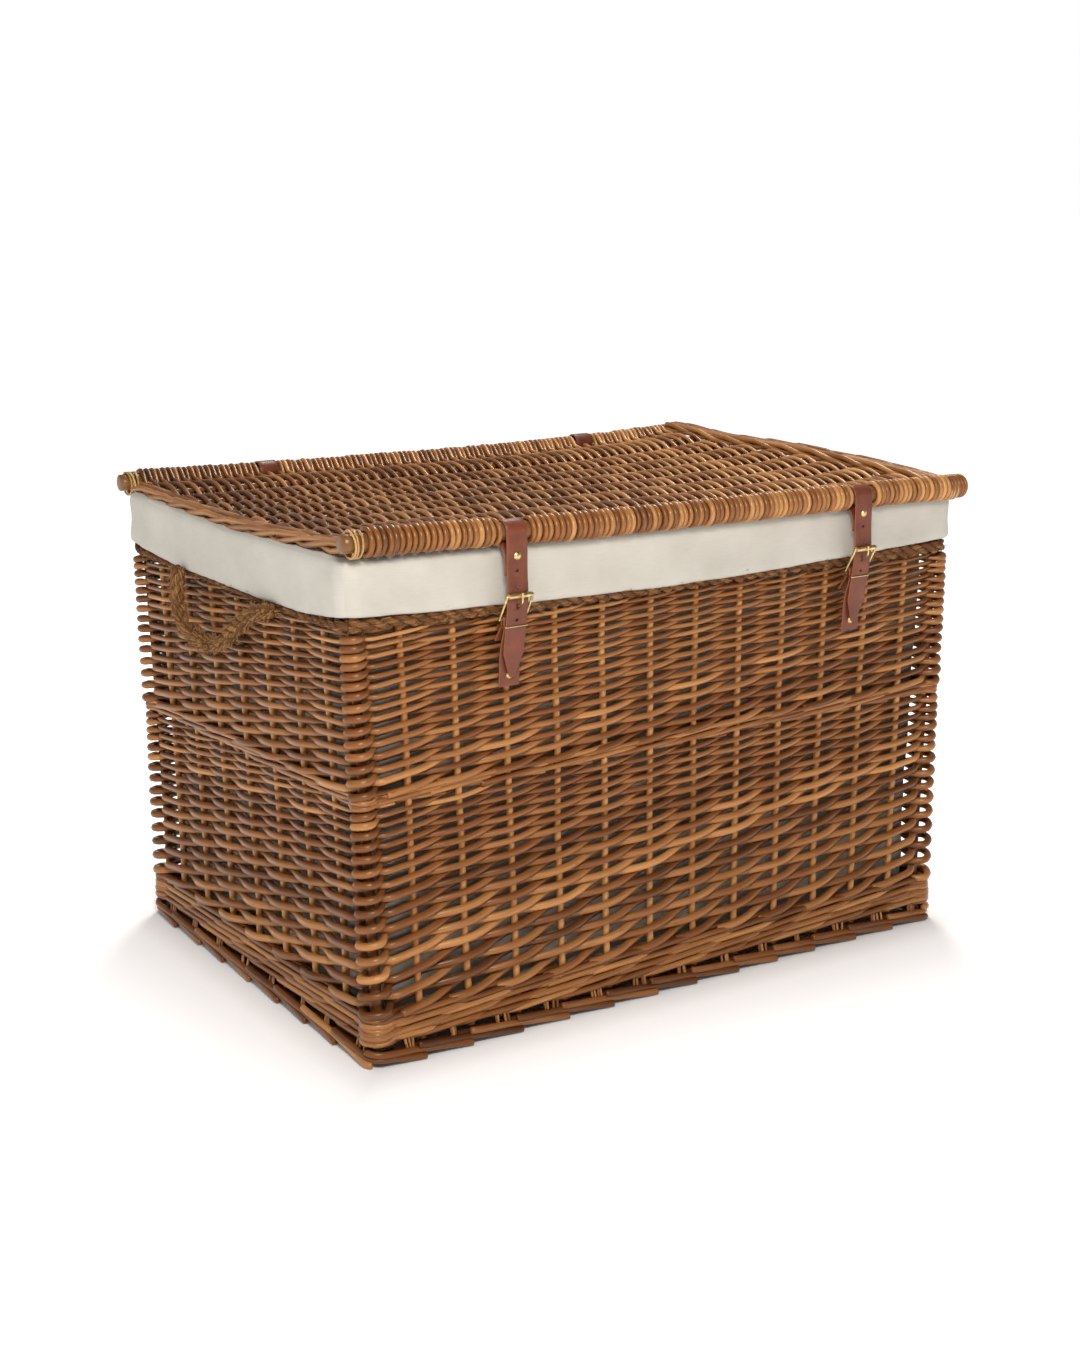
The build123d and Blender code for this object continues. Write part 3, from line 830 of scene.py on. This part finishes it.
def make_liner():
    """One cloth: cuff outside, folded over the rim, down the walls inside and across the floor."""
    hem, top, floor = BAND_HIGH + 0.6 * MM, RIM_TOP + 2.4 * MM, FLOOR_TOP + 1.2 * MM
    fall_at_hem = 12 * MM
    cuff = [(11.5, 1.5), (13.4, -0.2), (14.9, 1.0), (15.4, 3.5), (15.2, 7), (14.4, 11), (13.5, 16),
            (12.9, 21), (12.8, 27), (13.1, 33), (13.3, 38), (12.9, 42), (11.6, 45.5)]
    over_rim = 20
    rows = [(out, hem + up * MM, 9) for out, up in cuff]
    rows += [(9.2, top - 1.4 * MM, 9), (6, top, 10), (1, top + 0.8 * MM, 12), (-4, top - 0.2 * MM, 14),
             (-8.5, top - 3 * MM, 16), (-10.5, top - 8 * MM, 18), (-11, top - 16 * MM, 20)]
    depths = np.linspace(top - 26 * MM, floor + 14 * MM, 34)
    rows += [(-11 - 4 * (top - z) / (top - floor), z, 22) for z in depths]
    rows += [(-16, floor + 7 * MM, 22), (-19, floor + 2 * MM, 22), (-25, floor, 24)]
    u = np.concatenate([np.linspace(c - 0.2, c + 0.2, 14) for c in CORNERS] + [np.linspace(0, STATIONS, 680)])
    u = np.unique(np.mod(u, STATIONS).round(4))
    cols = len(u)
    rings, cloth, fall = [], [], 0.0
    phase = rng.uniform(0, 6.28, 8)
    around = u / STATIONS * 2 * math.pi
    for i, (o, z, corner) in enumerate(rows):
        outside = i < len(cuff)
        hem_near = math.exp(-((z - hem) / (9 * MM)) ** 2) if outside else 0
        pucker = (np.sin(41 * around + phase[0] + 2 * np.sin(7 * around)) * 0.35
                  + np.sin(97 * around + phase[1] + 3 * np.sin(11 * around + phase[2])) * 0.45) * hem_near
        folds = (np.sin(13 * around + phase[3] + z * 90) * 0.5
                 + np.sin(29 * around + phase[4] - z * 160) * 0.35
                 + np.sin(5 * around + phase[5] + z * 40) * 0.5)
        size = 0.55 if outside else 1.1 * ease((top - z) / (60 * MM))
        ripple = (pucker * 0.9 + folds * size) * MM
        low_share = np.clip(((top - z) if i < over_rim else (z - hem)) / (top - hem), 0, 1)
        height = z + rim_lift(u) * (1 - low_share if i < over_rim else low_share)
        if outside:
            height = height - fall_at_hem * face_dip(u) * low_share**1.5
            height = height + 0.5 * MM * np.sin(23 * around + phase[6]) * np.sin(5 * around) * low_share
        ring = wall_points(u, height, o * MM + ripple, corner * MM)
        if rings:
            fall += float(np.linalg.norm(ring - rings[-1], axis=1).mean())
        rings.append(ring)
        cloth.append(xyz(around * 0.43, fall, 0))
    centre = np.array([0, CENTRE_Y, floor])
    last = rings[-1]
    for share in (0.93, 0.82, 0.68, 0.5, 0.3, 0.12):
        ring = centre + (last - centre) * share
        ring[:, 2] = floor + 0.5 * MM * (1 + np.sin(9 * around + share * 20) * (1 - share))
        rings.append(ring)
        cloth.append(ring * (1, 1, 0))
    points = np.vstack(rings)
    index = np.arange(len(points)).reshape(len(rings), cols)
    nxt = np.roll(index, -1, axis=1)
    faces = np.stack([index[:-1], index[1:], nxt[1:], nxt[:-1]], -1).reshape(-1, 4).tolist()
    faces.append(index[-1].tolist())
    piece = new_mesh("cotton_liner_piece", COTTON, points, faces, {"cloth": np.vstack(cloth)})
    thick = piece.modifiers.new("cloth", "SOLIDIFY")
    thick.thickness, thick.offset = CLOTH, 0
    bake_modifiers(piece)
    place(piece, "basket", "cotton", "cotton_liner")


def bake_modifiers(obj):
    graph = bpy.context.evaluated_depsgraph_get()
    mesh = bpy.data.meshes.new_from_object(obj.evaluated_get(graph))
    obj.modifiers.clear()
    obj.data = mesh


make_liner()

# ---------------------------------------------------------------- lid

LID_STAKES = 8
lid_pitch = 2 * (STICK_Y - 12.5 * MM) / (LID_STAKES + 1)
lid_ys = np.array([(LID_STAKES - 1) / 2 - i for i in range(LID_STAKES)]) * lid_pitch
WEAVER_PITCH = 7.1 * MM
STRAP_GAP = 17 * MM


def stick_rise(x, y):
    """How far the bent sticks, and the mat between them, stand above straight ones."""
    at = [-425, -300, -150, 0, 150, 300, 425]
    front = np.interp(x / MM, at, [11, 8, 2.5, 1, 0, -0.5, -3]) * MM
    back = np.interp(x / MM, at, [0.5, -2.5, -5, -6.5, -6.5, -3.5, 2]) * MM
    share = np.clip((y / STICK_Y + 1) / 2, 0, 1)
    return front * (1 - share) + back * share


def lid_height(x, y):
    """Height of the middle of the lid's mat; its left end sags and its right end doesn't."""
    across = np.cos(np.clip(y / STICK_Y, -1, 1) * math.pi / 2)
    sag = 1.0 + np.interp(x / LID_END, [-1, -0.5, 0.4, 1], [5.5, 1.0, 0.0, -6.5])
    at_back = 8.5 * ease((y / STICK_Y - 0.45) / 0.5)
    at_right = np.interp(x / LID_END, [0.8, 1], [0, 5])
    return LID_MID_Z - 0.5 * MM + stick_rise(x, y) + (at_back + at_right - sag * across) * MM


def stick_wrap(side, from_top, radius):
    """Angles round a stick for a weaver that leaves it towards the mat from its top or from its underside."""
    angles = np.radians(np.linspace(-118, 112, 17) if from_top else np.linspace(205, -100, 20))
    ring = STICK_R + radius * 0.92
    return side * (STICK_Y + ring * np.cos(angles)), STICK_Z + ring * np.sin(angles)


def under_strap(x, straps):
    """Whether a weaver comes out where a strap goes round the stick, so isn't wrapped round it."""
    return any(abs(x - strap) < STRAP_GAP for strap in straps)


def make_lid_weave():
    groups = [Rods(), Rods()]
    steps = 6
    for j in range(int(2 * LID_END / WEAVER_PITCH) + LID_STAKES + 1):
        radius = rng.uniform(2.5, 3.3) * MM
        x_back = -LID_END + WEAVER_PITCH * (j + 0.5) + rng.normal(0, 0.3 * MM)
        sign = 1 if j % 2 == 0 else -1
        knots_y = np.concatenate([[STICK_Y - 14 * MM], lid_ys, [-STICK_Y + 14 * MM]])
        signs = [-0.3 * sign] + [sign * (-1) ** m for m in range(LID_STAKES)]
        signs.append(-0.3 * signs[-1])
        w = np.linspace(0, len(knots_y) - 1, (len(knots_y) - 1) * steps + 1)
        k = np.minimum(w.astype(int), len(knots_y) - 2)
        share = ease((w - k - 0.06) / 0.88)
        wave = np.array(signs)[k] * (1 - share) + np.array(signs)[k + 1] * share
        y = np.interp(w, np.arange(len(knots_y)), knots_y)
        x = x_back - WEAVER_PITCH * w + waver(len(w), 7, 0.4 * MM)
        z = lid_height(x, y) + wave * (3.2 * MM + 0.82 * radius)
        pieces = [xyz(x, y, z)]
        if not under_strap(x_back, TAB_X) and abs(x_back) < LID_END:
            wy, wz = stick_wrap(1, True, radius)
            drift = np.linspace(-1.2, 0, len(wy)) * MM
            pieces.insert(0, xyz(x_back + drift, wy, wz + stick_rise(x_back, STICK_Y)))
        x_front = x[-1]
        if not under_strap(x_front, STRAP_X) and abs(x_front) < LID_END:
            wy, wz = stick_wrap(-1, signs[-1] > 0, radius)
            drift = np.linspace(1.2, 0, len(wy)) * MM
            pieces.append(xyz(x_front + drift, wy, wz + stick_rise(x_front, -STICK_Y))[::-1])
        path = np.vstack(pieces) + (0, CENTRE_Y, 0)
        path = path[np.abs(path[:, 0]) < LID_END - 1 * MM]
        if len(path) < 4:
            continue
        # Painted light: each weaver's tone runs from dark at the lid's left end to light at its right, as the
        # light and its sheen fall on the lid.
        depth = 0.30 + 0.42 * (x_back + LID_END) / (2 * LID_END)
        groups[j % 2].add(path, radius, up=ALONG, tint=tone(depth, 0.17))
    for i, rods in enumerate(groups):
        rods.build(f"lid_weavers_{'ab'[i]}", LID_WILLOW_PAINTED_LIGHT, "lid", "willow", "lid_weave")
    stakes = Rods()
    for y in lid_ys:
        x = np.linspace(-LID_END - 8 * MM, LID_END + 8 * MM, 60)
        stakes.add(xyz(x, y + CENTRE_Y, lid_height(x, y)), 3.3 * MM, up=UP, tint=rng.uniform(0.2, 0.7))
    stakes.build("lid_stakes_piece", LID_WILLOW_PAINTED_LIGHT, "lid", "stick", "lid_stakes")


def make_sticks():
    """Two thick peeled sticks with a slight natural bend; their sawn ends show past the lashings."""
    for name, side in (("front_stick", -1), ("back_stick", 1)):
        rods = Rods()
        x = np.linspace(-STICK_END, STICK_END, 120)
        r = STICK_R * (0.985 - 0.015 * np.cos(x * 23))
        y = side * STICK_Y
        path = xyz(x, y + CENTRE_Y, STICK_Z + stick_rise(x, y))
        rods.add(path, r, sides=20, up=UP, tint=0.45, blunt=0.12)
        rods.build(f"{name}_piece", STICK, "lid", "stick", name)


def make_end_wraps():
    """Turns of willow round the right ends of both sticks, past the end of the mat."""
    coils = Rods()
    for side in (-1, 1):
        for x0 in np.arange(LID_END - 4 * MM, STICK_END - 4 * MM, 5.4 * MM):
            angle = np.linspace(0, 2 * math.pi, 26)
            ring = STICK_R + 2.1 * MM
            y = side * STICK_Y + CENTRE_Y + ring * np.cos(angle)
            z = STICK_Z + stick_rise(x0, side * STICK_Y) + ring * np.sin(angle)
            x = x0 + 1.2 * MM * np.sin(angle / 2)
            coils.add(xyz(x, y, z), 2.6 * MM, up=ALONG, tint=rng.uniform(0.3, 0.6), blunt=0)
    coils.build("right_end_wraps", LID_WILLOW_PAINTED_LIGHT, "lid", "willow", "lid_weave")


def make_end_borders():
    """Three-rod waling down each end of the lid, round the ends of its stakes, and a twisted outer edge."""
    for name, side in (("left", -1), ("right", 1)):
        rods = Rods()
        y = np.linspace(-STICK_Y + 9 * MM, STICK_Y - 9 * MM, 120)
        w = (y + STICK_Y) / lid_pitch
        bow = np.cos(y / STICK_Y * math.pi / 2) * MM
        if side < 0:
            rise = -1.5 * bow - 7 * MM * ease((y / STICK_Y - 0.45) / 0.5)
        else:
            rise = 3 * bow + 5 * MM
        for i, x0 in enumerate((396, 403, 410)):
            for q in range(3):
                c = np.mod(w - q - 1.4 * i, 3)
                up = np.interp(c, [0, 1, 2, 3], [1, 1, -1, 1])
                slide = np.interp(c, [0, 1.5, 2.5, 3], [-0.5, 1, -1, -0.5])
                r = rng.uniform(3.0, 3.8) * MM
                z = lid_height(side * LID_END, y) + rise + up * 4.6 * MM + waver(len(y), 12, 0.7 * MM)
                x = side * (x0 * MM + slide * 3.0 * MM)
                rods.add(xyz(x, y + CENTRE_Y, z), r, up=UP, tint=rng.uniform(0.25, 0.8))
        for drop in (9, 16, 23) if side > 0 else ():
            z = lid_height(side * LID_END, y) - drop * MM + 0.8 * MM * np.sin(w * 2.1 + drop)
            rods.add(xyz((405 - drop / 4) * MM, y + CENTRE_Y, z), 4.0 * MM, up=UP, tint=0.3)
        rods.build(f"lid_border_{name}", LID_WILLOW_PAINTED_LIGHT, "lid", "willow", f"{name}_end_border")


def make_lashings():
    """Cane wound in a few turns round each stick end and the border beside it."""
    rods = Rods()
    for sx in (-1, 1):
        for sy in (-1, 1):
            for turn in range(5):
                angle = np.linspace(0, 2 * math.pi, 40)
                wide = 12.6 * MM + 0.35 * MM * (turn % 2)
                x = sx * ((407 if sx < 0 else 397) + turn * 2.2) * MM + 1.0 * MM * np.sin(angle + turn)
                loose = sy * 4 * MM * (1 - np.cos(angle)) * (turn % 2)
                y = sy * STICK_Y + CENTRE_Y - loose + wide * np.cos(angle)
                z = STICK_Z + stick_rise(x, sy * STICK_Y) - 1.5 * MM + (wide + 1.0 * MM) * np.sin(angle)
                rods.add(xyz(x, y, z), 1.25 * MM, sides=6, up=ALONG, tint=rng.uniform(0.3, 0.9), blunt=0)
    rods.build("corner_lashings_piece", CANE, "lid", "cane", "corner_lashings")


make_lid_weave()
make_sticks()
make_end_wraps()
make_end_borders()
make_lashings()

# ---------------------------------------------------------------- leather and brass

def chaikin(points, rounds=4):
    """Rounds a route's corners by cutting them again and again; the two ends stay."""
    points = np.asarray(points, float)
    for _ in range(rounds):
        a, b = points[:-1], points[1:]
        cut = np.stack([a * 0.75 + b * 0.25, a * 0.25 + b * 0.75], 1).reshape(-1, points.shape[1])
        points = np.vstack([points[0], cut, points[-1]])
    return points


def ribbon(name, x, route, half_width, thickness=2.2 * MM):
    """A leather strip along a route in the YZ plane, with rounded edges. half_width may vary along it."""
    path = np.asarray(route, float)
    n = len(path)
    half = np.ones(n) * half_width
    tangent = unit(np.gradient(path, axis=0))
    normal = np.stack([tangent[:, 1], -tangent[:, 0]], 1)
    h = thickness / 2
    inset = 0.55 * MM
    face = [(-1, inset - h, 0), (-1, h - inset, 0), (-1, h, inset), (-0.5, h, 0), (0, h, 0), (0.5, h, 0),
            (1, h, inset)]
    outline = face + [(-share, -out, pull) for share, out, pull in face]
    points, edge = [], []
    for share, out, pull in outline:
        across = x + share * half - np.sign(share) * pull
        yz = path + normal * out
        points.append(xyz(across, yz[:, 0], yz[:, 1]))
        edge.append(np.full(n, 1.0 if abs(share) == 1 and pull == 0 else 0.0))
    points, edge = np.stack(points, 1), np.stack(edge, 1)
    index, quads = tube_faces(n, len(outline))
    faces = quads.tolist() + [index[0].tolist()[::-1], index[-1].tolist()]
    return new_mesh(name, LEATHER, points.reshape(-1, 3), faces, {"edge": edge.ravel()})


def arc(cy, cz, r, start, end, count):
    """YZ points on part of a circle, between two angles in degrees."""
    angles = np.radians(np.linspace(start, end, count))
    return [(cy + r * math.cos(a), cz + r * math.sin(a)) for a in angles]


LOOP_R = STICK_R + 1.6 * MM


def front_route(rise):
    """YZ points of a front strap: short end behind, over the stick, then down to the tip."""
    cy, cz = CENTRE_Y - STICK_Y, STICK_Z
    over = arc(cy, cz, LOOP_R, -25, 172, 22)
    outer = cy - LOOP_R
    tip = low_high("strap_tail_left")[0][Z]
    behind = [(outer + y * MM, cz + z * MM) for y, z in ((3.0, -40), (2.6, -30), (7, -18))]
    bends = ((-1.2, 136), (-0.6, 118), (-2.0, 100), (-3.0, 86), (0.5, 62), (7.0, 22), (9.5, 0))
    down = [(outer + y * MM, tip + z * MM) for y, z in bends]
    route = np.vstack([chaikin(behind + over[:3], 3), over[3:-1], chaikin([over[-1]] + down, 4)])
    route[:, 1] += rise * np.clip((route[:, 1] - cz + 40 * MM) / (30 * MM), 0, 1)
    return route


def cut_holes(obj, centres, radius, slots=()):
    for i, (x, y, z) in enumerate(centres):
        bpy.ops.mesh.primitive_cylinder_add(vertices=20, radius=radius, depth=14 * MM, location=(x, y, z),
                                            rotation=(math.pi / 2, 0, 0))
        cutter = bpy.context.object
        if i in slots:
            cutter.scale = (1, 1.9, 1)
        bpy.context.view_layer.update()
        cut = obj.modifiers.new("hole", "BOOLEAN")
        cut.operation, cut.solver, cut.object = "DIFFERENCE", "EXACT", cutter
        bake_modifiers(obj)
        bpy.data.objects.remove(cutter)


def dome(name, x, y, z, radius, height, facing):
    """A domed rivet head on a thin flange, facing -Y or +Y."""
    rings = [(1, 0), (1, 0.12), (0.93, 0.2), (0.86, 0.24), (0.78, 0.5), (0.6, 0.78), (0.36, 0.94), (0.12, 1)]
    turn = np.linspace(0, 2 * math.pi, 24, endpoint=False)
    points = [(x + radius * s * math.cos(a), y + facing * height * h, z + radius * s * math.sin(a))
              for s, h in rings for a in turn]
    index, quads = tube_faces(len(rings), 24)
    faces = quads.tolist() + [index[-1].tolist(), index[0].tolist()[::-1]]
    if facing > 0:
        faces = [face[::-1] for face in faces]
    return new_mesh(name, BRASS, points, faces)


def joined(name, objects):
    bpy.ops.object.select_all(action="DESELECT")
    for o in objects:
        o.select_set(True)
    bpy.context.view_layer.objects.active = objects[0]
    bpy.ops.object.join()
    objects[0].name = name
    return objects[0]


def stitches(name, x, route, body):
    """A row of stitches along each edge of a strap, on its outer face."""
    rods = Rods()
    for edge in (x - STRAP_HALF + 2.1 * MM, x + STRAP_HALF - 2.1 * MM):
        path, _ = evenly(np.column_stack([np.full(len(route), edge), route]), 3.4 * MM)
        for a, b in zip(path[:-1], path[1:]):
            way = unit(b - a)
            out = np.array([0, way[2], -way[1]]) * MM
            start, end = a + way * 0.5 * MM, a + way * 2.9 * MM
            stitch = [start + out * 0.9, (start + end) / 2 + out * 1.12, end + out * 0.9]
            rods.add(stitch, 0.32 * MM, sides=6, tint=0.5)
    return rods.build(name, THREAD, body, "leather")


POINT_LONG = 27 * MM


def make_front_strap(name, x):
    route = front_route(stick_rise(x, -STICK_Y))
    tip_z = route[-1][1]
    above = route[:, 1] - tip_z
    on_tail = np.arange(len(route)) > len(route) // 2
    point = np.interp(above, [0, 3 * MM, POINT_LONG], [2.2, 4.6, 12.7]) * MM
    half = np.where(on_tail & (above < POINT_LONG), point, STRAP_HALF)
    strap = ribbon(f"front_strap_{name}", x, route, half)
    hole_zs = [tip_z + h * MM for h in (115.5, 98, 77.5, 63)]
    tail = route[on_tail]
    centres = [(x, float(np.interp(z, tail[::-1, 1], tail[::-1, 0])), z) for z in hole_zs]
    cut_holes(strap, centres, 1.55 * MM, slots=(2,))
    seam = tail[(tail[:, 1] < STICK_Z - 4 * MM) & (tail[:, 1] > tip_z + 30 * MM)]
    seams = stitches(f"front_strap_stitches_{name}", x, seam, None)
    for piece in (strap, seams):
        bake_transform(piece)
    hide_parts(f"strap_loop_{name}", f"strap_tail_{name}")
    y = CENTRE_Y - STICK_Y - STICK_R - 2.7 * MM - 0.9 * MM
    rivet = dome(f"strap_rivet_{name}_head", x, y, tip_z + 131 * MM, 4.3 * MM, 2.3 * MM, -1)
    place(rivet, "lid", "brass", f"strap_rivet_{name}")


def make_buckle_strap(name, x):
    foot = low_high(f"lower_strap_{name}")[0][Z]
    py, pz = JOINTS[f"buckle_swing_{name}"]["pos_m"][1:]
    fold = arc(py, pz, 2.7 * MM, 200, -20, 16)
    wall = CENTRE_Y - half_y(foot)
    lie = wall - 12.6 * MM
    down = [(lie + y * MM, foot + z * MM) for y, z in ((0.4, 0), (-0.6, 22), (-2.0, 42))]
    down.append((py - 3.2 * MM, pz - 12 * MM))
    back = [(py + 2.9 * MM, pz - 8 * MM), (wall - 7.5 * MM, pz - 20 * MM), (wall - 4.5 * MM, pz - 25 * MM)]
    route = np.vstack([chaikin(down + [fold[0]], 3)[:-1], fold, chaikin([fold[-1]] + back, 3)[1:]])
    strap = ribbon(f"buckle_strap_{name}", x, route, STRAP_HALF)
    place(strap, "basket", "leather", f"lower_strap_{name}")
    stitches(f"buckle_strap_stitches_{name}", x, route[: len(route) // 3][::-1], "basket")
    heads = [dome(f"lower_rivet_{name}_{i}", x, lie - dy * MM, z * MM, 4.0 * MM, 2.0 * MM, -1)
             for i, (z, dy) in enumerate(((430, 2.4), (405, 1.1)))]
    place(joined(f"lower_rivet_heads_{name}", heads), "basket", "brass", f"lower_rivets_{name}")


def make_hinge_tab(name, x):
    cz = STICK_Z
    foot = low_high(f"hinge_tab_{name}")[0][Z]
    wall = CENTRE_Y + half_y(0.52)
    over = arc(CENTRE_Y + STICK_Y, cz, LOOP_R, -20, 200, 24)
    outer = [(wall + 17.4 * MM, foot), (wall + 17.4 * MM, cz - 40 * MM), (wall + 18 * MM, cz - 22 * MM)]
    inner = [(wall + 15.3 * MM, cz - 17 * MM), (wall + 14.9 * MM, cz - 36 * MM),
             (wall + 14.9 * MM, foot + 5 * MM)]
    route = np.vstack([chaikin(outer + over[:2], 3), over[2:-2], chaikin(over[-2:] + inner, 3)])
    tab = ribbon(f"hinge_tab_{name}_piece", x, route[::-1], STRAP_HALF)
    place(tab, "basket", "leather", f"hinge_tab_{name}")
    face = wall + 18.6 * MM
    heights = (526 * MM, 510 * MM)
    return [dome(f"hinge_rivet_{name}_{i}", x, face, z, 4.2 * MM, 2.1 * MM, 1) for i, z in enumerate(heights)]


hinge_heads = []
for name, x, tab in zip(SIDES, STRAP_X, TAB_X):
    make_front_strap(name, x)
    make_buckle_strap(name, x)
    hinge_heads += make_hinge_tab(name, tab)
place(joined("hinge_rivet_heads", hinge_heads), "basket", "brass", "hinge_rivets")


def finish_cad_nodes():
    """CAD nodes whose shape is right keep it, with the same materials as the pieces round them."""
    looks = {"brass": BRASS, "willow": WILLOW}
    slots = {s["node"]: s["material_slot"] for s in frame["record"]["subparts"]}
    for name, obj in frame["nodes"].items():
        if obj.hide_render or slots[name] not in looks:
            continue
        for slot in obj.material_slots:
            slot.material = looks[slots[name]]
        if slots[name] == "brass":
            obj.data.polygons.foreach_set("use_smooth", [True] * len(obj.data.polygons))


finish_cad_nodes()
